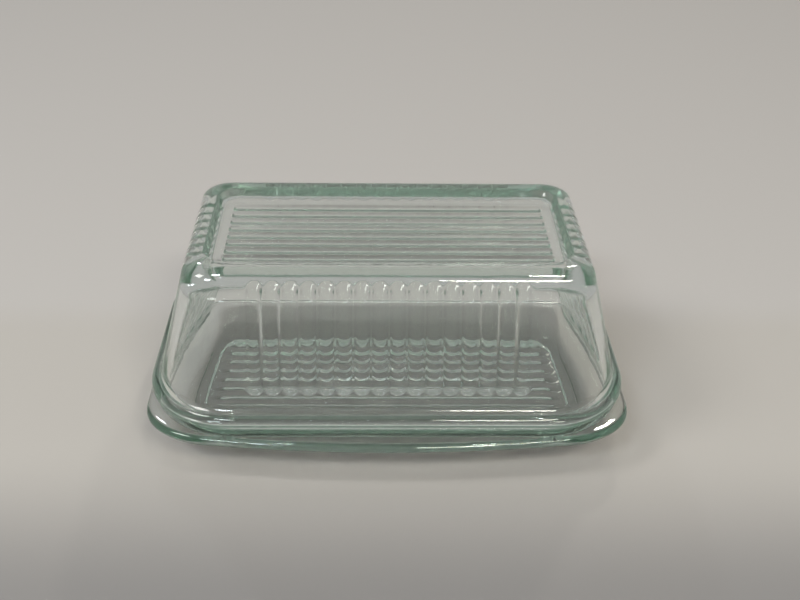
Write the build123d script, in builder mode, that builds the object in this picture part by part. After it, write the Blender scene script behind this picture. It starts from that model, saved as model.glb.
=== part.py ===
"""Ribbed pressed-glass butter dish: a shallow tray and a lift-off box lid.

Millimetres, +Z up, X along the length.
The origin is the middle of the underside, on the table.
"""
import os
from math import atan, degrees, radians, sqrt, tan

from build123d import *

# ---- tray ------------------------------------------------------------------
TRAY_HALF_LENGTH = 84.0
TRAY_HALF_DEPTH = 59.2      # at the corners, before the long sides bow out
LONG_SIDE_BOW = 4.5         # how far the middle of each long side stands out
TRAY_CORNER = 22.0
CORNER_FULLNESS = 1.25      # how round the tray corners are drawn
SEAT_Z = 17.5               # top of the flange, where the lid stands
FLANGE_THICK = 4.0
FLANGE_ROUND = 1.9          # rounded edge of the flange
FLOOR_Z = 4.8               # top of the tray floor
FLOOR_HALF_LENGTH = 69.5
FLOOR_HALF_DEPTH = 27.5
FLOOR_CORNER = 6.0
WELL_HALF_LENGTH = 77.5     # opening of the well at the seat
WELL_HALF_DEPTH = 48.5
WELL_CORNER = 24.0
FOOT_HALF_LENGTH = 70.5     # outline the tray stands on
FOOT_HALF_DEPTH = 30.0
FOOT_CORNER = 12.0
FOOT_RING = 5.0             # width of the standing ring
FOOT_HOLLOW = 1.0           # how far the middle of the underside is raised
BELLY_ROOT = 0.5            # how far the body reaches up into the flange
BELLY_HALF_LENGTH = 82.0    # tray body just above the underside of the flange
BELLY_HALF_DEPTH = 56.0
BELLY_CORNER = 30.0

# ---- lid -------------------------------------------------------------------
SEAT_GAP = 0.05             # lid rim stands this far above the seat
LID_TOP_Z = 68.6            # crest of the raised border round the top
LIP_HALF_LENGTH = 83.9
LIP_HALF_DEPTH = 55.6
LIP_CORNER = 32.0
LIP_HEIGHT = 4.4
LIP_ROUND = 1.6
FLARE_Z = 26.0              # where the flared foot of the wall ends
WALL_HALF_LENGTH = 80.0     # outside of the wall at the flare
WALL_HALF_DEPTH = 51.2
WALL_CORNER = 27.6
TOP_HALF_LENGTH = 68.7      # outline where the leaning walls would meet the top
TOP_HALF_DEPTH = 37.0
TOP_CORNER = 9.0
SHOULDER_ROUND = 6.9        # outside round between wall and top
PANEL_HALF_LENGTH = 62.9    # sunken panel in the top
PANEL_HALF_DEPTH = 28.8
PANEL_CORNER = 7.5
PANEL_DEPTH = 2.4
PANEL_SLOPE = 2.0           # how much smaller the panel is at its bottom
PANEL_ROUND = 1.5
TOP_THICK = 4.5             # glass under the panel
CAVITY_HALF_LENGTH = 78.4   # inside of the wall at the rim
CAVITY_HALF_DEPTH = 49.9
CAVITY_CORNER = 23.3
CEILING_HALF_LENGTH = 66.2  # where the inside walls would meet the ceiling
CEILING_HALF_DEPTH = 35.0
CEILING_CORNER = 11.0
CEILING_ROUND = 9.0         # inside round between wall and ceiling

# ---- reeds: rounded ribs pressed into the inside faces ------------------------
REED_HEIGHT = 0.8           # reeds on the floor and the ceiling
SIDE_REED_HEIGHT = 1.1      # reeds on the long walls
END_REED_HEIGHT = 0.8       # reeds on the end walls
REED_GAP = 0.3              # flat valley left between two reeds
REED_SINK = 0.4             # how far each reed is rooted in the glass
FLOOR_REEDS = 8
FLOOR_REED_PITCH = 6.0
FLOOR_REED_LENGTH = 125.0
CEILING_REEDS = 8
CEILING_REED_PITCH = 5.6
CEILING_REED_LENGTH = 113.0
SIDE_REEDS = 16
SIDE_REED_PITCH = 6.0
END_REEDS = 8
END_REED_PITCH = 6.6
WALL_REED_LOW_Z = 26.5      # lower tips of the reeds on the lid walls
WALL_REED_HIGH_Z = 58.0     # upper tips run out in the round under the ceiling

LID_BASE_Z = SEAT_Z + SEAT_GAP
PANEL_Z = LID_TOP_Z - PANEL_DEPTH
CEILING_Z = PANEL_Z - TOP_THICK
LIP_TOP_Z = LID_BASE_Z + LIP_HEIGHT


def rounded_plate(half_length, half_depth, corner):
    """Rounded rectangle centred in the open sketch."""
    RectangleRounded(2 * half_length, 2 * half_depth, corner)


def reed_solid(pitch, length, height):
    """One rib lying along X with domed ends; its root plane is Z = 0."""
    half_width = (pitch - REED_GAP) / 2
    radius = (half_width ** 2 + height ** 2) / (2 * height)
    run = length - 2 * half_width
    with BuildPart() as reed:
        with Locations((0, 0, height - radius)):
            Cylinder(radius, run, rotation=(0, 90, 0))
        with Locations((-run / 2, 0, height - radius), (run / 2, 0, height - radius)):
            Sphere(radius)
        with Locations((0, 0, (height - REED_SINK) / 2)):
            Box(2 * length, 3 * pitch, height + REED_SINK, mode=Mode.INTERSECT)
    return reed.part


def row(count, pitch):
    """Centres of a row of reeds, evenly spaced about the middle."""
    return [(i - (count - 1) / 2) * pitch for i in range(count)]


# ---- tray --------------------------------------------------------------------
# Outline of the flange: straight short ends, long sides bowed outwards.
straight_x = TRAY_HALF_LENGTH - TRAY_CORNER
bow_y = TRAY_HALF_DEPTH + LONG_SIDE_BOW

with BuildSketch(Plane.XY.offset(SEAT_Z - FLANGE_THICK)) as flange_outline:
    with BuildLine():
        side = ThreePointArc((-straight_x, TRAY_HALF_DEPTH), (0, bow_y), (straight_x, TRAY_HALF_DEPTH))
        end = Line(
            (TRAY_HALF_LENGTH, TRAY_HALF_DEPTH - TRAY_CORNER),
            (TRAY_HALF_LENGTH, -TRAY_HALF_DEPTH + TRAY_CORNER),
        )
        corner = Spline(
            side @ 1,
            end @ 0,
            tangents=(side % 1, end % 0),
            tangent_scalars=(CORNER_FULLNESS, CORNER_FULLNESS),
        )
        mirror(corner, about=Plane.XZ)
        mirror(side, about=Plane.XZ)
        mirror(end, about=Plane.YZ)
        mirror(corner, about=Plane.YZ)
        mirror(mirror(corner, about=Plane.XZ, mode=Mode.PRIVATE), about=Plane.YZ)
    make_face()

with BuildPart() as flange:
    add(flange_outline.sketch)
    extrude(amount=FLANGE_THICK)
    fillet(flange.edges().group_by(Axis.Z)[0] + flange.edges().group_by(Axis.Z)[-1], radius=FLANGE_ROUND)

# The hollow the butter lies in, from the flat floor up to the seat.
with BuildPart() as well:
    with BuildSketch(Plane.XY.offset(FLOOR_Z)):
        rounded_plate(FLOOR_HALF_LENGTH, FLOOR_HALF_DEPTH, FLOOR_CORNER)
    with BuildSketch(Plane.XY.offset(SEAT_Z)):
        rounded_plate(WELL_HALF_LENGTH, WELL_HALF_DEPTH, WELL_CORNER)
    loft(ruled=True)

floor_reed = reed_solid(FLOOR_REED_PITCH, FLOOR_REED_LENGTH, REED_HEIGHT)

with BuildPart() as tray:
    # belly: sloping underside between the foot and the flange
    with BuildSketch():
        rounded_plate(FOOT_HALF_LENGTH, FOOT_HALF_DEPTH, FOOT_CORNER)
    with BuildSketch(Plane.XY.offset(SEAT_Z - FLANGE_THICK + BELLY_ROOT)):
        rounded_plate(BELLY_HALF_LENGTH, BELLY_HALF_DEPTH, BELLY_CORNER)
    loft(ruled=True)
    # flange all round
    add(flange.part)
    # the well
    add(well.part, mode=Mode.SUBTRACT)
    # raised middle of the underside leaves a ring to stand on
    with BuildSketch():
        rounded_plate(
            FOOT_HALF_LENGTH - FOOT_RING,
            FOOT_HALF_DEPTH - FOOT_RING,
            FOOT_CORNER - FOOT_RING / 2,
        )
    extrude(amount=FOOT_HOLLOW, mode=Mode.SUBTRACT)
    # reeds along the floor
    with Locations([(0, y, FLOOR_Z) for y in row(FLOOR_REEDS, FLOOR_REED_PITCH)]):
        add(floor_reed)

# ---- lid ---------------------------------------------------------------------
# Inside of the lid as a solid, later taken away from the outside shape.
with BuildPart() as cavity:
    with BuildSketch(Plane.XY.offset(LID_BASE_Z)):
        rounded_plate(CAVITY_HALF_LENGTH, CAVITY_HALF_DEPTH, CAVITY_CORNER)
    with BuildSketch(Plane.XY.offset(CEILING_Z)):
        rounded_plate(CEILING_HALF_LENGTH, CEILING_HALF_DEPTH, CEILING_CORNER)
    loft(ruled=True)
    fillet(cavity.faces().sort_by(Axis.Z)[-1].edges(), radius=CEILING_ROUND)

cavity_rise = CEILING_Z - LID_BASE_Z
side_lean = degrees(atan((CAVITY_HALF_DEPTH - CEILING_HALF_DEPTH) / cavity_rise))
end_lean = degrees(atan((CAVITY_HALF_LENGTH - CEILING_HALF_LENGTH) / cavity_rise))
ceiling_reed = reed_solid(CEILING_REED_PITCH, CEILING_REED_LENGTH, REED_HEIGHT)
reed_mid_z = (WALL_REED_LOW_Z + WALL_REED_HIGH_Z) / 2
reed_span = WALL_REED_HIGH_Z - WALL_REED_LOW_Z
side_face_y = CAVITY_HALF_DEPTH - (reed_mid_z - LID_BASE_Z) * tan(radians(side_lean))
end_face_x = CAVITY_HALF_LENGTH - (reed_mid_z - LID_BASE_Z) * tan(radians(end_lean))
side_reed_length = reed_span * sqrt(1 + tan(radians(side_lean)) ** 2)
end_reed_length = reed_span * sqrt(1 + tan(radians(end_lean)) ** 2)
side_reed = reed_solid(SIDE_REED_PITCH, side_reed_length, SIDE_REED_HEIGHT)
end_reed = reed_solid(END_REED_PITCH, end_reed_length, END_REED_HEIGHT)

# The sunken panel in the top, as a solid to take away.
with BuildPart() as panel:
    with BuildSketch(Plane.XY.offset(PANEL_Z)):
        rounded_plate(
            PANEL_HALF_LENGTH - PANEL_SLOPE,
            PANEL_HALF_DEPTH - PANEL_SLOPE,
            PANEL_CORNER - PANEL_SLOPE,
        )
    with BuildSketch(Plane.XY.offset(LID_TOP_Z)):
        rounded_plate(PANEL_HALF_LENGTH, PANEL_HALF_DEPTH, PANEL_CORNER)
    loft(ruled=True)
    fillet(panel.faces().sort_by(Axis.Z)[0].edges(), radius=PANEL_ROUND)

with BuildPart() as lip:
    with BuildSketch(Plane.XY.offset(LID_BASE_Z)):
        rounded_plate(LIP_HALF_LENGTH, LIP_HALF_DEPTH, LIP_CORNER)
    extrude(amount=LIP_HEIGHT)
    fillet(lip.edges().group_by(Axis.Z)[0] + lip.edges().group_by(Axis.Z)[-1], radius=LIP_ROUND)

with BuildPart() as lid:
    # leaning walls and top
    with BuildSketch(Plane.XY.offset(FLARE_Z)):
        rounded_plate(WALL_HALF_LENGTH, WALL_HALF_DEPTH, WALL_CORNER)
    with BuildSketch(Plane.XY.offset(LID_TOP_Z)):
        rounded_plate(TOP_HALF_LENGTH, TOP_HALF_DEPTH, TOP_CORNER)
    loft(ruled=True)
    fillet(lid.faces().sort_by(Axis.Z)[-1].edges(), radius=SHOULDER_ROUND)
    # sunken panel, with a rounded border
    add(panel.part, mode=Mode.SUBTRACT)
    border = lid.faces().sort_by(Axis.Z)[-1].inner_wires()
    fillet(border[0].edges(), radius=PANEL_ROUND)
    # flared foot of the wall
    with BuildSketch(Plane.XY.offset(LIP_TOP_Z)):
        rounded_plate(LIP_HALF_LENGTH - LIP_ROUND, LIP_HALF_DEPTH - LIP_ROUND, LIP_CORNER - LIP_ROUND)
    with BuildSketch(Plane.XY.offset(FLARE_Z)):
        rounded_plate(WALL_HALF_LENGTH, WALL_HALF_DEPTH, WALL_CORNER)
    loft(ruled=True)
    # thick rounded lip the lid stands on
    add(lip.part)
    # hollow inside
    add(cavity.part, mode=Mode.SUBTRACT)
    # reeds along the ceiling, hanging down
    with Locations(
        [Location((0, y, CEILING_Z), (180, 0, 0)) for y in row(CEILING_REEDS, CEILING_REED_PITCH)]
    ):
        add(ceiling_reed)
    # upright reeds on the two long walls
    for way in (-1, 1):
        face_plane = Plane(
            origin=(0, way * side_face_y, reed_mid_z),
            x_dir=(0, -way * tan(radians(side_lean)), 1),
            z_dir=(0, -way, -tan(radians(side_lean))),
        )
        with Locations(face_plane):
            with Locations([(0, x, 0) for x in row(SIDE_REEDS, SIDE_REED_PITCH)]):
                add(side_reed)
    # upright reeds on the two end walls
    for way in (-1, 1):
        face_plane = Plane(
            origin=(way * end_face_x, 0, reed_mid_z),
            x_dir=(-way * tan(radians(end_lean)), 0, 1),
            z_dir=(-way, 0, -tan(radians(end_lean))),
        )
        with Locations(face_plane):
            with Locations([(0, y, 0) for y in row(END_REEDS, END_REED_PITCH)]):
                add(end_reed)

# ---- hand over -----------------------------------------------------------------
os.makedirs("parts", exist_ok=True)
tray.part.label = "tray"
export_step(tray.part, "parts/tray.step")
lid.part.label = "lid"
export_step(lid.part, "parts/lid.step")
print("tray", round(tray.part.volume), "mm3", tray.part.bounding_box())
print("lid", round(lid.part.volume), "mm3", lid.part.bounding_box())
print("solids", len(tray.part.solids()), len(lid.part.solids()))
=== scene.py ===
# %% [markdown]
# # A pressed-glass butter dish
# The dish is two pieces of glass: a shallow tray and a box-shaped lid that stands on it.
# Both were pressed in iron moulds, so their shapes are smooth, thick at the edges and never
# quite flat. This lesson builds each piece as one closed skin of glass, because light bends
# correctly only through a skin with no holes and a known inside.
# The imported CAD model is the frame: it says where each piece is and how large it may be.

import math

import bmesh
import bpy
from mathutils import Matrix, Vector


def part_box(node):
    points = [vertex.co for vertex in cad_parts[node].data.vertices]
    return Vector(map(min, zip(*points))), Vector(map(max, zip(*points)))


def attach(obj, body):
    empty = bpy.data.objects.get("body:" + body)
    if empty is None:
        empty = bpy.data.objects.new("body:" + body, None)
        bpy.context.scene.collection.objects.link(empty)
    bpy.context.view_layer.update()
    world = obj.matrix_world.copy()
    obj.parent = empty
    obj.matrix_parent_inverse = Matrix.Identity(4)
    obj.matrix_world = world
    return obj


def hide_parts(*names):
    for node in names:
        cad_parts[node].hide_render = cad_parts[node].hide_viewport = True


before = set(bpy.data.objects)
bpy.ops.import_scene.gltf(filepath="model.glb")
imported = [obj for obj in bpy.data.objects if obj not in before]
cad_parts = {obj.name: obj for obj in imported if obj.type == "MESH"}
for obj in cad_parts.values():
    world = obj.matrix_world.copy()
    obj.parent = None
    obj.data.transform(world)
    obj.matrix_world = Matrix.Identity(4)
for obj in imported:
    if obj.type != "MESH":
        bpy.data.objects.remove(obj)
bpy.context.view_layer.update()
MM = 0.001
LID_LOW, LID_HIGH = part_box("lid")
TRAY_LOW, TRAY_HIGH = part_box("tray")
print("tray is", round((TRAY_HIGH.z - TRAY_LOW.z) / MM, 1), "mm high")

# %% [markdown]
# ## Profiles with rounded corners
# Pressed glass has no sharp corner anywhere: the mould is radiused and the fire polish melts
# the rest. A profile here is a list of key outlines, each a rounded rectangle at a height.
# Where two stretches of the profile meet, the corner is replaced by a true circular arc.
# Writing the arc as a weighted curve keeps every value of the outline moving together, so
# length, depth and corner radius all turn the corner at the same moment.

# %% Key outlines


def key(length, depth, corner, height, radius=0.0, steps=1, bow=0.0):
    """One key outline: half length, half depth, corner radius, height, then its rounding."""
    return {"at": (length, depth, corner, height, bow), "radius": radius, "steps": steps}


def smaller(plan, inset):
    """The same rounded rectangle, drawn that much further in."""
    return tuple(measure - inset for measure in plan)


# %% Rounding the corners of a profile


def step_along(a, b, reach):
    """The point that lies reach along the profile from outline a towards outline b."""
    span = math.hypot(b[1] - a[1], b[3] - a[3])
    share = reach / span
    return tuple(p + (q - p) * share for p, q in zip(a, b))


def rounded_profile(keys):
    """Turns key outlines into a dense list of outlines with circular corners."""
    rows = [keys[0]["at"]]
    for before, here, after in zip(keys, keys[1:], keys[2:]):
        p, q, r = before["at"], here["at"], after["at"]
        if here["radius"] == 0.0:
            rows.append(q)
            continue
        heading_in = math.atan2(q[3] - p[3], q[1] - p[1])
        heading_out = math.atan2(r[3] - q[3], r[1] - q[1])
        turn = abs((heading_out - heading_in + math.pi) % (2 * math.pi) - math.pi)
        reach = here["radius"] * math.tan(turn / 2)
        start, finish = step_along(q, p, reach), step_along(q, r, reach)
        weight = math.cos(turn / 2)
        for i in range(here["steps"] + 1):
            t = i / here["steps"]
            u, v, w = (1 - t) ** 2, 2 * weight * t * (1 - t), t * t
            rows.append(
                tuple((u * a + v * b + w * c) / (u + v + w) for a, b, c in zip(start, q, finish))
            )
    rows.append(keys[-1]["at"])
    return rows


# %% Filling long stretches


def fill_rows(rows, longest):
    """Adds rows so that no step between two outlines is longer than asked."""
    dense = [rows[0]]
    for a, b in zip(rows, rows[1:]):
        span = max(math.hypot(b[1] - a[1], b[3] - a[3]), abs(b[0] - a[0]))
        count = max(1, math.ceil(span / longest))
        for i in range(1, count + 1):
            dense.append(tuple(p + (q - p) * i / count for p, q in zip(a, b)))
    return dense


# %% [markdown]
# ## Outlines
# Every outline of a piece has the same number of points, so neighbouring outlines join up as
# neat four-sided faces. The points are spaced to suit the ribs: close together across a rib,
# and wide apart on plain glass. The long sides of the tray bow outwards, so an outline can
# also carry a bow.

# %% Points along a side


def spaced(stops, counts):
    """Positions from stop to stop, with the given number of steps in each stretch."""
    places = [stops[0]]
    for a, b, n in zip(stops, stops[1:], counts):
        places += [a + (b - a) * i / n for i in range(1, n + 1)]
    return places


def side_places(fixed, reach, extra):
    """Mirror-symmetric places along a side: the fixed ones, then a plain stretch to its end."""
    edge = fixed[-1]
    plain = [edge + (reach - edge) * i / extra for i in range(1, extra + 1)]
    return [-p for p in reversed(plain)] + fixed + plain


# %% Points round a corner
QUARTER_CIRCLE_GRIP = 0.5523


def corner_points(a, b, corner, bow, count):
    """The corner from the end of the back side to the start of the right-hand side."""
    run = a - corner
    slope = -2 * bow / run
    grip = QUARTER_CIRCLE_GRIP * corner
    lean = math.hypot(1, slope)
    p0 = (run, b)
    p1 = (run + grip / lean, b + grip * slope / lean)
    p3 = (a, b - corner)
    p2 = (a, b - corner + grip)
    points = []
    for i in range(1, count):
        t = i / count
        w = ((1 - t) ** 3, 3 * t * (1 - t) ** 2, 3 * t * t * (1 - t), t ** 3)
        points.append(
            tuple(sum(k * p[n] for k, p in zip(w, (p0, p1, p2, p3))) for n in (0, 1))
        )
    return points


# %% Points round one outline


def outline(row, long_fixed, short_fixed, long_extra, short_extra, corner_steps):
    """All points of one outline, starting at the back left and going clockwise from above."""
    a, b, corner, z, bow = row
    run, rise = a - corner, b - corner
    xs = side_places(long_fixed, run, long_extra)
    ys = side_places(short_fixed, rise, short_extra)
    back = [(x, b + bow * (1 - (x / run) ** 2)) for x in xs]
    right = [(a, y) for y in reversed(ys)]
    bend = corner_points(a, b, corner, bow, corner_steps)
    points = back + bend + right
    points += [(x, -y) for x, y in reversed(bend)]
    points += [(x, -y) for x, y in reversed(back)]
    points += [(-x, -y) for x, y in bend]
    points += [(-x, y) for x, y in reversed(right)]
    points += [(-x, y) for x, y in reversed(bend)]
    return [Vector((x, y, z)) for x, y in points]


# %% [markdown]
# ## Ribs
# A rib is a slice of a round bar lying on the glass, with a domed end. Its height at any
# point depends only on how far that point is from the rib's middle line, which makes it easy
# to push the skin out by just that much. Neighbouring ribs meet in a narrow valley.

# %% Height of the ribs
RIB_HEIGHT = 0.80
CEILING_RIB_HEIGHT = 0.62


def rib_height(across, along, pitch, count, half_length, tall=RIB_HEIGHT, nose=1.0):
    """How far the ribs of one row stand out of the glass at a point, in millimetres.

    The domed ends are nose times as long as they are wide.
    """
    half_width = pitch / 2
    if abs(across) >= count * half_width:
        return 0.0
    shift = 0.0 if count % 2 else half_width
    middle = round((across - shift) / pitch) * pitch + shift
    past_end = max(0.0, abs(along) - (half_length - half_width * nose)) / nose
    off = math.hypot(across - middle, past_end)
    if off >= half_width:
        return 0.0
    bar = (half_width ** 2 + tall ** 2) / (2 * tall)
    return math.sqrt(bar ** 2 - off ** 2) - (bar - tall)


print("ribs stand", CEILING_RIB_HEIGHT, "to", RIB_HEIGHT, "mm high on the flat faces")


# %% [markdown]
# ## Skinning
# With the outlines in order, the skin is a matter of joining each outline to the next. The
# flat middles (the lid's top and ceiling, the tray's floor) are filled by a net whose rows
# and columns run straight across from side to side, so a net can carry ribs as well.

# %% The four sides of a net


def net_shape(long_count, short_count, corner_steps):
    """Columns and rows of the net that fills an outline."""
    return long_count + corner_steps, short_count + corner_steps


def net_edges(ring, long_count, short_count, corner_steps):
    """Splits an outline's point numbers into the four sides of its net."""
    half = corner_steps // 2
    columns, rows = net_shape(long_count, short_count, corner_steps)
    n = len(ring)
    start = n - half
    back = [(start + i) % n for i in range(columns)]
    right = [(back[-1] + i) % n for i in range(rows)]
    front = [(right[-1] + i) % n for i in range(columns)]
    left = [(front[-1] + i) % n for i in range(rows)]
    return back, right, list(reversed(front)), list(reversed(left))


def share_along(points, axis):
    """Where each point lies between the first and the last, from 0 to 1."""
    first, last = points[0][axis], points[-1][axis]
    return [(p[axis] - first) / (last - first) for p in points]


# %% Filling an outline with a net


def fill_net(mesh, ring, verts, counts, height=None):
    """Fills one outline with a net; height(x, y) may lift the inner points."""
    back, right, front, left = net_edges(ring, *counts)
    columns, rows = len(back), len(right)
    grid = [[None] * columns for _ in range(rows)]
    for c in range(columns):
        grid[0][c] = verts[back[c]]
        grid[rows - 1][c] = verts[front[c]]
    for r in range(rows):
        grid[r][0] = verts[left[r]]
        grid[r][columns - 1] = verts[right[r]]
    across = share_along([ring[i] for i in back], 0)
    down = share_along([ring[i] for i in left], 1)
    for r in range(1, rows - 1):
        v = down[r]
        for c in range(1, columns - 1):
            u = across[c]
            top, foot = ring[back[c]], ring[front[c]]
            west, east = ring[left[r]], ring[right[r]]
            corners = (
                ring[back[0]] * (1 - u) * (1 - v)
                + ring[back[-1]] * u * (1 - v)
                + ring[front[0]] * (1 - u) * v
                + ring[front[-1]] * u * v
            )
            p = top * (1 - v) + foot * v + west * (1 - u) + east * u - corners
            if height is not None:
                p.z += height(p.x, p.y)
            grid[r][c] = mesh.verts.new(p * MM)
    for r in range(rows - 1):
        for c in range(columns - 1):
            mesh.faces.new((grid[r][c], grid[r][c + 1], grid[r + 1][c + 1], grid[r + 1][c]))


# %% Joining outlines into a closed skin


def skin(name, rings, counts, first_height=None):
    """A closed mesh through all outlines, with a net across the first and the last."""
    mesh = bmesh.new()
    layers = [[mesh.verts.new(p * MM) for p in ring] for ring in rings]
    for upper, lower in zip(layers, layers[1:]):
        n = len(upper)
        for i in range(n):
            j = (i + 1) % n
            mesh.faces.new((upper[i], upper[j], lower[j], lower[i]))
    fill_net(mesh, rings[0], layers[0], counts, first_height)
    fill_net(mesh, rings[-1], layers[-1], counts)
    bmesh.ops.recalc_face_normals(mesh, faces=mesh.faces)
    data = bpy.data.meshes.new(name)
    mesh.to_mesh(data)
    mesh.free()
    for face in data.polygons:
        face.use_smooth = True
    piece = bpy.data.objects.new(name, data)
    bpy.context.scene.collection.objects.link(piece)
    print(name, "has", len(data.polygons), "faces")
    return piece


# %% [markdown]
# ## The lid
# The lid is smooth outside and ribbed inside, because the plunger that pressed it carried the
# ribs and the mould did not. The profile starts at the ceiling, goes down the inside of the
# wall, round the thick lip that stands on the tray, and up the outside to the top.
# Inside, the walls are sixteen ribs long and eight ribs deep, and the ceiling has eight ribs
# running lengthwise.
# A bevelled box with a thickness modifier would be quicker, but its inside would copy its
# outside. One profile that runs down the inside and up the outside keeps the two apart, so
# the ribs can be inside only and the glass can be as thick at the lip as the real one.

# %% Heights in the lid
PANEL_SINK = 2.4
CEILING_THICKNESS = 4.5
LIP_HEIGHT = 4.4
FLARE_RISE = 1.5
LID_TOP = LID_HIGH.z / MM
LID_FOOT = LID_LOW.z / MM
LIP_TOP = LID_FOOT + LIP_HEIGHT
FLARE_TOP = LIP_TOP + FLARE_RISE
PANEL = LID_TOP - PANEL_SINK
CEILING = PANEL - CEILING_THICKNESS
print("lid ceiling", round(CEILING, 2), "mm, sunken panel", round(PANEL, 2), "mm up")

# %% Plans of the lid: half length, half depth, corner radius
CEILING_PLAN = (66.2, 35.0, 11.0)
RIM_INSIDE_PLAN = (78.4, 49.9, 23.3)
LIP_PLAN = (LID_HIGH.x / MM, LID_HIGH.y / MM, 32.0)
FLARE_PLAN = (80.6, 52.0, 28.6)
SHOULDER_PLAN = (68.7, 37.0, 9.0)
PANEL_PLAN = (62.9, 28.8, 7.5)
CEILING_ROUND = 9.0
SHOULDER_ROUND = 6.9
PANEL_ROUND = 1.8
PANEL_STEP = 2.0
PANEL_MARGIN = 4.5
CEILING_MARGIN = 7.4

# %% Lid profile
lid_keys = [
    key(*smaller(CEILING_PLAN, CEILING_MARGIN), CEILING),
    key(*CEILING_PLAN, CEILING, radius=CEILING_ROUND, steps=18),
    key(*RIM_INSIDE_PLAN, LID_FOOT, radius=1.3, steps=5),
    key(*LIP_PLAN, LID_FOOT, radius=1.5, steps=6),
    key(*LIP_PLAN, LIP_TOP, radius=2.8, steps=8),
    key(*FLARE_PLAN, FLARE_TOP, radius=4.2, steps=8),
    key(*SHOULDER_PLAN, LID_TOP, radius=SHOULDER_ROUND, steps=14),
    key(*PANEL_PLAN, LID_TOP, radius=PANEL_ROUND, steps=6),
    key(*smaller(PANEL_PLAN, PANEL_STEP), PANEL, radius=PANEL_ROUND, steps=6),
    key(*smaller(PANEL_PLAN, PANEL_MARGIN), PANEL),
]
lid_rows = rounded_profile(lid_keys)
print("lid profile has", len(lid_rows), "outlines before filling")

# %% Lid rib layout
SIDE_PITCH, SIDE_COUNT = 6.0, 16
END_PITCH, END_COUNT = 6.6, 8
CEILING_PITCH, CEILING_COUNT = 5.6, 8
CEILING_HALF = 57.0
POINTS_PER_RIB = 12
LID_LONG_EXTRA = 10
LID_SHORT_EXTRA = 4
LID_CORNER_STEPS = 14
SIDE_MARGIN = 0.3

side_steps = SIDE_COUNT * POINTS_PER_RIB
side_half = SIDE_COUNT * SIDE_PITCH / 2
lid_long = spaced([-side_half, side_half], [side_steps])
end_steps = END_COUNT * POINTS_PER_RIB


def lid_short(pitch, reach):
    """Places across the lid for ribs of that pitch, kept within a side of that reach."""
    half = min(END_COUNT * pitch / 2, reach)
    return spaced([-half, half], [end_steps])


def lid_outline(row, pitch):
    """One outline of the lid, with its points spaced for end ribs of that pitch."""
    reach = row[1] - row[2] - SIDE_MARGIN
    return outline(
        row,
        lid_long,
        lid_short(pitch, reach),
        LID_LONG_EXTRA,
        LID_SHORT_EXTRA,
        LID_CORNER_STEPS,
    )


print(SIDE_COUNT, "ribs on each side wall,", END_COUNT, "on each end wall")

# %% Ribs on the inner walls
WALL_RIB_LOW = 9.0
WALL_RIB_HIGH = 48.0
SIDE_RIB_HEIGHT = 1.1
END_RIB_HEIGHT = 0.8
WALL_RIB_MIDDLE = (WALL_RIB_LOW + WALL_RIB_HIGH) / 2
WALL_RIB_HALF = (WALL_RIB_HIGH - WALL_RIB_LOW) / 2
ON_FACE = 0.01


def profile_lengths(rows):
    """Distance travelled along the profile up to each row."""
    total, lengths = 0.0, [0.0]
    for a, b in zip(rows, rows[1:]):
        total += math.hypot(b[1] - a[1], b[3] - a[3])
        lengths.append(total)
    return lengths


def push_ribs(ring, row, pitch, along, inward, droop):
    """Moves the points of one inner outline in along the wall ribs that cross it."""
    for p in ring:
        if abs(p.x) <= side_half and abs(p.y) > row[1] - ON_FACE:
            lift = rib_height(
                p.x, along, SIDE_PITCH, SIDE_COUNT, WALL_RIB_HALF, SIDE_RIB_HEIGHT
            )
            p.y -= math.copysign(lift * inward, p.y)
            p.z -= lift * droop
        elif abs(p.y) <= END_COUNT * pitch / 2 and abs(p.x) > row[0] - ON_FACE:
            lift = rib_height(p.y, along, pitch, END_COUNT, WALL_RIB_HALF, END_RIB_HEIGHT)
            p.x -= math.copysign(lift * inward, p.x)
            p.z -= lift * droop


# %% Outlines of the lid, inside and outside
INNER_SPACING = 0.7
OUTER_SPACING = 3.5
PITCH_BLEND = 12.0
RIM_BAND = 1.4


def inner_outlines(inner):
    """Outlines down the inside of the lid, ribs included."""
    travelled = profile_lengths(inner)
    rings = []
    for i, row in enumerate(inner):
        slide = min(1.0, travelled[i] / PITCH_BLEND)
        pitch = CEILING_PITCH + (END_PITCH - CEILING_PITCH) * slide
        ring = lid_outline(row, pitch)
        below = inner[min(i + 1, len(inner) - 1)]
        above = inner[max(i - 1, 0)]
        dy, dz = below[1] - above[1], below[3] - above[3]
        size = math.hypot(dy, dz)
        along = travelled[-1] - travelled[i] - WALL_RIB_MIDDLE
        push_ribs(ring, row, pitch, along, -dz / size, dy / size)
        rings.append(ring)
    return rings


def lid_outlines():
    """Outlines of the whole lid, from the ceiling round the lip to the sunken panel."""
    turn = next(i for i, r in enumerate(lid_rows) if r[3] <= LID_FOOT + RIM_BAND)
    inner = fill_rows(lid_rows[: turn + 1], INNER_SPACING)
    outer = fill_rows(lid_rows[turn:], OUTER_SPACING)
    return inner_outlines(inner) + [lid_outline(row, END_PITCH) for row in outer[1:]]


# %% Ribs on the ceiling
CEILING_RIB_NOSE = 0.35


def ceiling_ribs(x, y):
    """The ceiling's ribs hang down."""
    return -rib_height(
        y,
        x,
        CEILING_PITCH,
        CEILING_COUNT,
        CEILING_HALF,
        CEILING_RIB_HEIGHT,
        CEILING_RIB_NOSE,
    )


# %% Lid
lid_rings = lid_outlines()
lid_counts = (
    len(lid_long) + 2 * LID_LONG_EXTRA,
    END_COUNT * POINTS_PER_RIB + 1 + 2 * LID_SHORT_EXTRA,
    LID_CORNER_STEPS,
)
lid_glass = skin("lid_glass", lid_rings, lid_counts, first_height=ceiling_ribs)

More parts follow.
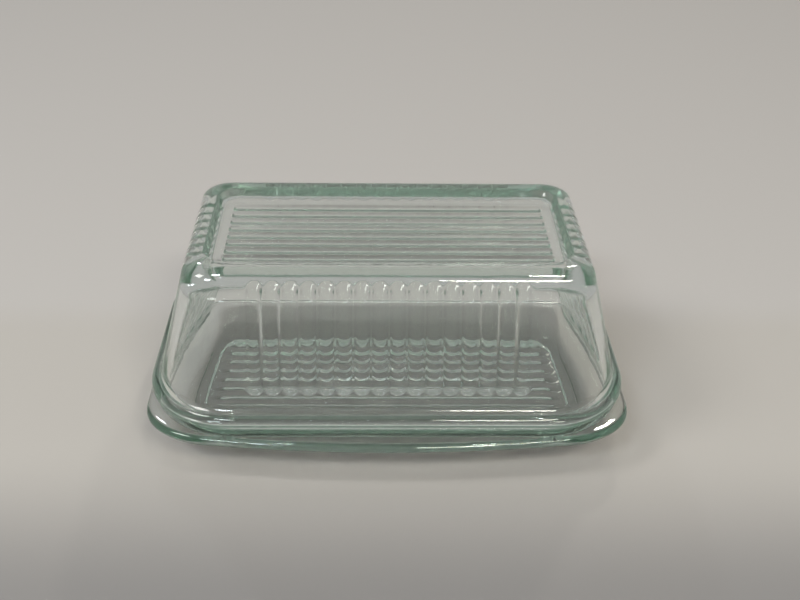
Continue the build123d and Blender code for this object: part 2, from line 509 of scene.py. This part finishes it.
# %% [markdown]
# ## The tray
# The tray is a shallow dish with a flat flange. Its long sides bow outwards, which leaves a
# little shelf to lift it by. The profile starts on the floor, climbs the side of the well,
# crosses the flange, rounds its edge, and comes back underneath to the ring it stands on.
# It is made with the same helpers as the lid, so both pieces turn their corners alike.

# %% Heights in the tray
FLOOR = 4.8
FLANGE_THICKNESS = 4.0
FOOT_HOLLOW = 1.0
SEAT = TRAY_HIGH.z / MM
FLANGE_FOOT = SEAT - FLANGE_THICKNESS
print("the lid stands", round(SEAT, 2), "mm up, the butter lies at", FLOOR, "mm")

# %% Plans of the tray: half length, half depth, corner radius
BOW = 4.5
FLOOR_PLAN = (69.5, 27.5, 6.0)
WELL_PLAN = (77.5, 48.5, 24.0)
FLANGE_PLAN = (TRAY_HIGH.x / MM, TRAY_HIGH.y / MM - BOW, 22.0)
BELLY_PLAN = (81.8, 55.4, 30.0)
FOOT_PLAN = (70.5, 30.0, 12.0)
RING_INSIDE_PLAN = (66.0, 25.5, 9.6)
HOLLOW_PLAN = (65.0, 24.5, 9.0)
HOLLOW_MIDDLE_PLAN = (62.0, 21.5, 7.0)
FLOOR_MARGIN = 2.5
FLANGE_ROUND = 1.95

# %% Tray profile
TRAY_SPACING = 3.0
tray_keys = [
    key(*smaller(FLOOR_PLAN, FLOOR_MARGIN), FLOOR),
    key(*FLOOR_PLAN, FLOOR, radius=2.0, steps=5),
    key(*WELL_PLAN, SEAT, radius=2.5, steps=6),
    key(*FLANGE_PLAN, SEAT, radius=FLANGE_ROUND, steps=8, bow=BOW),
    key(*FLANGE_PLAN, FLANGE_FOOT, radius=FLANGE_ROUND, steps=8, bow=BOW),
    key(*BELLY_PLAN, FLANGE_FOOT, radius=2.0, steps=6),
    key(*FOOT_PLAN, 0.0, radius=1.5, steps=5),
    key(*RING_INSIDE_PLAN, 0.0, radius=1.0, steps=3),
    key(*HOLLOW_PLAN, FOOT_HOLLOW, radius=1.0, steps=3),
    key(*HOLLOW_MIDDLE_PLAN, FOOT_HOLLOW),
]
tray_rows = fill_rows(rounded_profile(tray_keys), TRAY_SPACING)
print("tray profile has", len(tray_rows), "outlines")

# %% Tray rib layout
FLOOR_PITCH, FLOOR_COUNT = 6.0, 8
FLOOR_HALF = 62.5
TRAY_LONG_EXTRA = 2
TRAY_SHORT_EXTRA = 2
TRAY_CORNER_STEPS = 14
RIB_RUN = 54.0
RIB_TIP = 58.8
TRAY_MARGIN = 0.6
tray_long = spaced([-RIB_TIP, -RIB_RUN, RIB_RUN, RIB_TIP], [10, 24, 10])


def tray_short(reach):
    """Places across the tray: the floor's ribs, kept within a side of that reach."""
    half = min(FLOOR_COUNT * FLOOR_PITCH / 2, reach)
    return spaced([-half, half], [FLOOR_COUNT * POINTS_PER_RIB])


def tray_outlines():
    """Outlines of the whole tray."""
    rings = []
    for row in tray_rows:
        rise = row[1] - row[2]
        run = row[0] - row[2]
        shrink = min(1.0, (run - TRAY_MARGIN) / RIB_TIP)
        places = [x * shrink for x in tray_long]
        rings.append(
            outline(
                row,
                places,
                tray_short(rise - TRAY_MARGIN),
                TRAY_LONG_EXTRA,
                TRAY_SHORT_EXTRA,
                TRAY_CORNER_STEPS,
            )
        )
    return rings


def floor_ribs(x, y):
    """The floor's ribs stand up."""
    return rib_height(y, x, FLOOR_PITCH, FLOOR_COUNT, FLOOR_HALF)


# %% Tray
tray_rings = tray_outlines()
tray_counts = (
    len(tray_long) + 2 * TRAY_LONG_EXTRA,
    FLOOR_COUNT * POINTS_PER_RIB + 1 + 2 * TRAY_SHORT_EXTRA,
    TRAY_CORNER_STEPS,
)
tray_glass = skin("tray_glass", tray_rings, tray_counts, first_height=floor_ribs)

# %% [markdown]
# ## Glass
# Everyday pressed glass is faintly green from the iron in its sand. The tint is not on the
# surface: it builds up with the distance light travels inside, so flat walls look almost
# clear and the thick edges go deep green. An absorbing volume does exactly that.
# The skin itself is not perfectly even. Cooling leaves shallow ripples, drawn here with two
# soft noises, and handling leaves the gloss very slightly uneven.

# %% Noise for the skin of the glass
FINE_SHARE = 0.12
RIPPLE_HEIGHT = 0.4


def soft_noise(nodes, links, place, scale, detail):
    """A noise that follows the given place, as a node."""
    noise = nodes.new("ShaderNodeTexNoise")
    noise.inputs["Scale"].default_value = scale
    noise.inputs["Detail"].default_value = detail
    links.new(place, noise.inputs["Vector"])
    return noise


def ripples(nodes, links, broad, fine, strength):
    """Shallow bumps: the broad noise with a little of the fine one."""
    mix = nodes.new("ShaderNodeMath")
    mix.operation = "MULTIPLY_ADD"
    mix.inputs[1].default_value = FINE_SHARE
    bump = nodes.new("ShaderNodeBump")
    bump.inputs["Strength"].default_value = strength
    bump.inputs["Distance"].default_value = RIPPLE_HEIGHT * MM
    links.new(fine.outputs["Fac"], mix.inputs[0])
    links.new(broad.outputs["Fac"], mix.inputs[2])
    links.new(mix.outputs[0], bump.inputs["Height"])
    return bump


def handled_gloss(nodes, links, broad):
    """Roughness that drifts a little from place to place."""
    gloss = nodes.new("ShaderNodeMapRange")
    gloss.inputs["From Min"].default_value = 0.35
    gloss.inputs["From Max"].default_value = 0.75
    gloss.inputs["To Min"].default_value = 0.004
    gloss.inputs["To Max"].default_value = 0.022
    links.new(broad.outputs["Fac"], gloss.inputs["Value"])
    return gloss


# %% Pressed green glass
IRON_GREEN = (0.633, 0.78, 0.705, 1.0)
GLASS_IOR = 1.52
BROAD_SCALE, BROAD_DETAIL = 38.0, 1.5
FINE_SCALE, FINE_DETAIL = 260.0, 2.0


def pressed_glass(name, ripple, seed, density):
    """Clear glass with a green volume, shallow ripples and slightly uneven gloss."""
    material = bpy.data.materials.new(name)
    material.use_nodes = True
    nodes, links = material.node_tree.nodes, material.node_tree.links
    nodes.clear()
    output = nodes.new("ShaderNodeOutputMaterial")
    glass = nodes.new("ShaderNodeBsdfPrincipled")
    glass.inputs["Base Color"].default_value = (1, 1, 1, 1)
    glass.inputs["Transmission Weight"].default_value = 1.0
    glass.inputs["IOR"].default_value = GLASS_IOR
    place = nodes.new("ShaderNodeTexCoord")
    shift = nodes.new("ShaderNodeVectorMath")
    shift.operation = "ADD"
    shift.inputs[1].default_value = (seed, seed * 0.37, seed * 0.71)
    links.new(place.outputs["Object"], shift.inputs[0])
    broad = soft_noise(nodes, links, shift.outputs[0], BROAD_SCALE, BROAD_DETAIL)
    fine = soft_noise(nodes, links, shift.outputs[0], FINE_SCALE, FINE_DETAIL)
    bump = ripples(nodes, links, broad, fine, ripple)
    gloss = handled_gloss(nodes, links, broad)
    volume = nodes.new("ShaderNodeVolumeAbsorption")
    volume.inputs["Color"].default_value = IRON_GREEN
    volume.inputs["Density"].default_value = density
    links.new(bump.outputs["Normal"], glass.inputs["Normal"])
    links.new(gloss.outputs["Result"], glass.inputs["Roughness"])
    links.new(glass.outputs["BSDF"], output.inputs["Surface"])
    links.new(volume.outputs["Volume"], output.inputs["Volume"])
    return material


# %% Glass on both pieces
RIPPLE = 0.5
GREEN_DEPTH = 30.0
LID_SEED = 3.0
TRAY_SEED = 8.0
lid_material = pressed_glass("pressed_green_glass_lid", RIPPLE, LID_SEED, GREEN_DEPTH)
tray_material = pressed_glass("pressed_green_glass_tray", RIPPLE, TRAY_SEED, GREEN_DEPTH)
lid_glass.data.materials.append(lid_material)
tray_glass.data.materials.append(tray_material)
print("materials:", lid_material.name, tray_material.name)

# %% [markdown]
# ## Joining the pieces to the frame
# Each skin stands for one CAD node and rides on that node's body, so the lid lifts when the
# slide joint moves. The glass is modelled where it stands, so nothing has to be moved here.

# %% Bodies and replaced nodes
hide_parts("lid")
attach(lid_glass, "lid")
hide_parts("tray")
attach(tray_glass, "tray")
print("lid_glass rides on lid, tray_glass rides on tray")

# %% [markdown]
# ## Table
# The dish stands on a plain pale sheet. Its colour carries painted light and painted shade: it
# is painted a touch lighter behind the dish, as if lit more there, and painted darker in front
# of it, a painted fall-off of the light.
# Two smooth steps along the depth of the table do that. The sheet lies a hair below the
# dish, because two faces in exactly the same place would make dark patches.

# %% Matt paper, with painted light behind and painted shade in front
PAPER_MIDDLE = (0.335, 0.32, 0.297, 1.0)
# Painted light: the paper colour behind the dish, a touch lighter as if lit more there.
BACK_PAPER_PAINTED_LIGHT = (0.35, 0.337, 0.322, 1.0)
# Painted shade: the paper colour in front of the dish, darker as a painted fall-off of the
# light.
FRONT_PAPER_PAINTED_SHADE = (0.175, 0.17, 0.165, 1.0)
# Where the painted light behind and the painted shade in front begin and end, along the table's
# depth.
PAINTED_LIGHT_REACH = (0.035, 0.065)
PAINTED_SHADE_REACH = (-0.120, -0.040)


def soft_step(nodes, links, value, reach):
    """Goes smoothly from 0 to 1 while the value crosses that reach."""
    step = nodes.new("ShaderNodeMapRange")
    step.interpolation_type = "SMOOTHSTEP"
    step.inputs["From Min"].default_value = reach[0]
    step.inputs["From Max"].default_value = reach[1]
    links.new(value, step.inputs["Value"])
    return step.outputs["Result"]


def paper_with_painted_light():
    """Rough pale paper, painted lighter behind the dish (painted light) and darker in front of
    it (painted shade).
    """
    material = bpy.data.materials.new("paper_with_painted_light")
    material.use_nodes = True
    nodes, links = material.node_tree.nodes, material.node_tree.links
    shader = nodes["Principled BSDF"]
    shader.inputs["Roughness"].default_value = 0.85
    place = nodes.new("ShaderNodeTexCoord")
    split = nodes.new("ShaderNodeSeparateXYZ")
    links.new(place.outputs["Object"], split.inputs[0])
    tone = nodes.new("ShaderNodeMix")
    tone.data_type = "RGBA"
    tone.inputs[6].default_value = PAPER_MIDDLE
    tone.inputs[7].default_value = BACK_PAPER_PAINTED_LIGHT
    # Painted light: steps the paper to its lighter colour behind the dish.
    links.new(soft_step(nodes, links, split.outputs["Y"], PAINTED_LIGHT_REACH), tone.inputs[0])
    shade = nodes.new("ShaderNodeMix")
    shade.data_type = "RGBA"
    shade.inputs[6].default_value = FRONT_PAPER_PAINTED_SHADE
    # Painted shade: steps the paper to its darker colour in front of the dish.
    links.new(soft_step(nodes, links, split.outputs["Y"], PAINTED_SHADE_REACH), shade.inputs[0])
    links.new(tone.outputs[2], shade.inputs[7])
    links.new(shade.outputs[2], shader.inputs["Base Color"])
    return material


# %% Pale sheet
SHEET_SIZE = 6.0
SHEET_DROP = 0.2
bpy.ops.mesh.primitive_grid_add(x_subdivisions=8, y_subdivisions=8, size=SHEET_SIZE)
sheet = bpy.context.object
sheet.name = "table_sheet"
sheet.location.z = -SHEET_DROP * MM
sheet.data.materials.append(paper_with_painted_light())
print("sheet", SHEET_SIZE, "m wide")

# %% [markdown]
# ## Light
# Clear glass only shows what it bends and mirrors, so the room matters as much as the lamps.
# The room here is an even soft grey, a little brighter overhead. Two wide lamps stand in
# front of the dish at half height: they throw its shadow backwards and draw the long bright
# lines on the lip and the flange. A window stands on the left, and small lamps above and
# behind make the sharp glints on the shoulder and at the top of every rib.

# %% Room light
ROOM_COLOUR = (1.0, 0.975, 0.95, 1.0)
ROOM_LOW, ROOM_HIGH = 0.42, 0.46
ROOM_RISE = (0.0, 0.95)

world = bpy.data.worlds.new("soft_room")
bpy.context.scene.world = world
world.use_nodes = True
room_nodes, room_links = world.node_tree.nodes, world.node_tree.links
room = room_nodes["Background"]
room.inputs["Color"].default_value = ROOM_COLOUR
room_place = room_nodes.new("ShaderNodeTexCoord")
room_split = room_nodes.new("ShaderNodeSeparateXYZ")
room_rise = room_nodes.new("ShaderNodeMapRange")
room_rise.interpolation_type = "SMOOTHSTEP"
room_rise.inputs["From Min"].default_value = ROOM_RISE[0]
room_rise.inputs["From Max"].default_value = ROOM_RISE[1]
room_rise.inputs["To Min"].default_value = ROOM_LOW
room_rise.inputs["To Max"].default_value = ROOM_HIGH
room_links.new(room_place.outputs["Generated"], room_split.inputs[0])
room_links.new(room_split.outputs["Z"], room_rise.inputs["Value"])
room_links.new(room_rise.outputs["Result"], room.inputs["Strength"])
print("room light from", ROOM_LOW, "at the horizon to", ROOM_HIGH, "overhead")

# %% A lamp


def lamp(name, place, size, power, colour):
    """A lamp of some width and height at a place, turned towards the dish."""
    data = bpy.data.lights.new(name, "AREA")
    data.shape = "RECTANGLE"
    data.size, data.size_y = size
    data.energy = power
    data.color = colour
    holder = bpy.data.objects.new(name, data)
    holder.location = place
    aim = -Vector(place)
    holder.rotation_euler = aim.to_track_quat("-Z", "Y").to_euler()
    bpy.context.scene.collection.objects.link(holder)
    print(name, round(aim.length, 2), "m away,", power, "W")


# %% Lamps
DAYLIGHT = (1.0, 0.98, 0.96)
WARM_WHITE = (1.0, 0.95, 0.86)
COOL_WHITE = (0.86, 0.93, 1.0)
lamp("window_light", (-1.07, -0.42, 1.3), (0.5, 0.5), 10.0, DAYLIGHT)
lamp("front_lamp_right", (0.42, -1.2, 1.25), (0.62, 0.22), 15.0, WARM_WHITE)
lamp("front_lamp_left", (-0.60, -1.2, 1.25), (0.50, 0.22), 12.0, COOL_WHITE)
lamp("ceiling_lamp_right", (0.29, -0.45, 1.5), (0.07, 0.07), 2.5, WARM_WHITE)
lamp("ceiling_lamp_left", (-0.28, -0.45, 1.5), (0.06, 0.06), 1.5, COOL_WHITE)
lamp("back_lamp_right", (0.45, 1.3, 1.15), (0.12, 0.07), 4.0, WARM_WHITE)
lamp("back_lamp_left", (-0.5, 1.3, 1.15), (0.10, 0.06), 2.0, COOL_WHITE)

# %% [markdown]
# ## Camera
# The camera looks down on the dish from the front at about thirty degrees, close enough that
# the sides of the dish converge strongly. It is built from three directions, backwards, right
# and up, because that makes the slight turn and the slight roll easy to set apart.

# %% Camera
PITCH = math.radians(30.18)
YAW = math.radians(-1.65)
ROLL = math.radians(1.02)
EYE = Vector((-0.0061, -0.3729, 0.2536))
LENS = 52.5
SENSOR_WIDTH = 36.0

camera_data = bpy.data.cameras.new("camera")
camera_data.lens = LENS
camera_data.sensor_width = SENSOR_WIDTH
camera = bpy.data.objects.new("camera", camera_data)
backward = Vector(
    (math.sin(YAW) * math.cos(PITCH), -math.cos(YAW) * math.cos(PITCH), math.sin(PITCH))
)
rightward = (-backward).cross(Vector((0, 0, 1))).normalized()
upward = rightward.cross(-backward)
tilted_right = rightward * math.cos(ROLL) + upward * math.sin(ROLL)
tilted_up = upward * math.cos(ROLL) - rightward * math.sin(ROLL)
turn = Matrix((tilted_right, tilted_up, backward)).transposed().to_4x4()
camera.matrix_world = Matrix.Translation(EYE) @ turn
bpy.context.scene.collection.objects.link(camera)
bpy.context.scene.camera = camera
bpy.context.scene.view_settings.view_transform = "Standard"
print("camera stands", round(EYE.length, 3), "m from the dish")

# %% [markdown]
# ## Light paths
# Light crosses many skins of glass here, and a thick edge passes it along by mirroring it from
# side to side, many times over, before letting it out. Cutting those paths short would turn
# the edges black instead of green, so light is followed much further than usual.

# %% Light paths
LONGEST_PATH = 32
bpy.context.scene.cycles.max_bounces = LONGEST_PATH
bpy.context.scene.cycles.transmission_bounces = LONGEST_PATH
bpy.context.scene.cycles.glossy_bounces = LONGEST_PATH
print("light is followed for", LONGEST_PATH, "steps")
